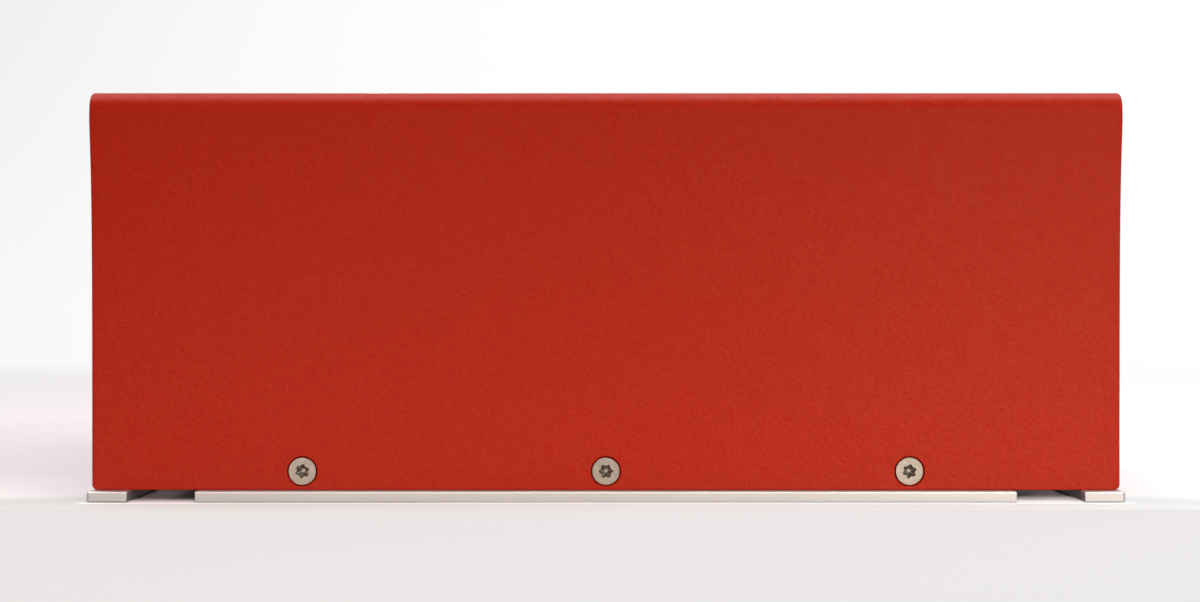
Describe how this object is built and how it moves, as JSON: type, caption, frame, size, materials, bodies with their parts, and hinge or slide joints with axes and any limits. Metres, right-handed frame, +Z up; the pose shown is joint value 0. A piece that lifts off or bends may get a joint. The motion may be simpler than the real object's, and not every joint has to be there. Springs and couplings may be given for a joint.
{
  "type": "car amplifier",
  "caption": "Car audio amplifier: folded red cover on a flat base plate, with sockets, knobs, terminals and fuses set back in its two open ends.",
  "frame": {"origin": "middle of the base plate's underside, which is the bottom centre of the bounding box", "axes": "+X along the cover from its input end to its output end, -Y out of the front flap with its screw row, +Z up from the base plate"},
  "size_m": [0.2048, 0.1714, 0.0808],
  "materials": {
    "red_powder_coat": "fine orange-peel powder coat on sheet aluminium, satin",
    "bare_aluminium": "brushed, natural",
    "panel_black_anodised": "satin black anodised",
    "stainless_steel": "turned, satin",
    "heat_sink_black": "black anodised extrusion",
    "circuit_board_green": "solder resist",
    "black_plastic": "fine moulded texture",
    "enamelled_copper": "enamelled windings",
    "capacitor_sleeve": "shrunk sleeve",
    "nickel_plate": "bright nickel on brass",
    "green_lens": "tinted, clear",
    "fuse_yellow": "tinted, clear"
  },
  "bodies": {
    "chassis": {"base_plate": "bare_aluminium", "front_rail": "bare_aluminium", "rear_rail": "bare_aluminium", "cover": "red_powder_coat", "cover_screw_front_1": "stainless_steel", "cover_screw_front_2": "stainless_steel", "cover_screw_front_3": "stainless_steel", "cover_screw_rear_1": "stainless_steel", "cover_screw_rear_2": "stainless_steel", "cover_screw_rear_3": "stainless_steel", "base_screw_1": "stainless_steel", "base_screw_2": "stainless_steel", "base_screw_3": "stainless_steel", "base_screw_4": "stainless_steel", "input_panel": "panel_black_anodised", "output_panel": "panel_black_anodised", "input_panel_screw_front": "stainless_steel", "input_panel_screw_rear": "stainless_steel", "output_panel_screw_front": "stainless_steel", "output_panel_screw_rear": "stainless_steel", "circuit_board": "circuit_board_green", "control_board": "circuit_board_green", "front_heat_sink": "heat_sink_black", "rear_heat_sink": "heat_sink_black", "transistor_front_left": "black_plastic", "transistor_front_right": "black_plastic", "transistor_rear_left": "black_plastic", "transistor_rear_right": "black_plastic", "transistor_clamp_front": "stainless_steel", "transistor_clamp_rear": "stainless_steel", "power_transformer": "enamelled_copper", "transformer_clamp": "stainless_steel", "filter_capacitor_1": "capacitor_sleeve", "filter_capacitor_2": "capacitor_sleeve", "filter_capacitor_3": "capacitor_sleeve", "filter_capacitor_4": "capacitor_sleeve", "mode_switch_body": "black_plastic", "power_lamp": "green_lens", "input_socket_housing": "black_plastic", "input_socket_shell_left": "nickel_plate", "input_socket_shell_right": "nickel_plate", "power_terminal_strip": "black_plastic", "power_screw_ground": "nickel_plate", "power_screw_remote": "nickel_plate", "power_screw_battery": "nickel_plate", "speaker_terminal_strip": "black_plastic", "speaker_screw_left_plus": "nickel_plate", "speaker_screw_left_minus": "nickel_plate", "speaker_screw_right_minus": "nickel_plate", "speaker_screw_right_plus": "nickel_plate", "fuse_holder": "black_plastic"},
    "gain_control": {"gain_knob": "black_plastic", "gain_shaft": "nickel_plate"},
    "low_pass_control": {"low_pass_knob": "black_plastic", "low_pass_shaft": "nickel_plate"},
    "high_pass_control": {"high_pass_knob": "black_plastic", "high_pass_shaft": "nickel_plate"},
    "mode_lever": {"mode_switch_lever": "black_plastic"},
    "left_fuse": {"fuse_left": "fuse_yellow"},
    "right_fuse": {"fuse_right": "fuse_yellow"}
  },
  "joints": [
    {"name": "gain_turn", "type": "hinge", "parent": "chassis", "child": "gain_control", "pos_m": [-0.0886, -0.006, 0.026], "axis": [-1, 0, 0], "range_deg": [-150, 150]},
    {"name": "low_pass_turn", "type": "hinge", "parent": "chassis", "child": "low_pass_control", "pos_m": [-0.0886, -0.032, 0.026], "axis": [-1, 0, 0], "range_deg": [-150, 150]},
    {"name": "high_pass_turn", "type": "hinge", "parent": "chassis", "child": "high_pass_control", "pos_m": [-0.0886, -0.058, 0.026], "axis": [-1, 0, 0], "range_deg": [-150, 150]},
    {"name": "mode_slide", "type": "slide", "parent": "chassis", "child": "mode_lever", "axis": [0, 0, 1], "range_m": [-0.0022, 0.0022]},
    {"name": "left_fuse_pull", "type": "slide", "parent": "chassis", "child": "left_fuse", "axis": [1, 0, 0], "range_m": [0, 0.0125]},
    {"name": "right_fuse_pull", "type": "slide", "parent": "chassis", "child": "right_fuse", "axis": [1, 0, 0], "range_m": [0, 0.0125]}
  ]
}
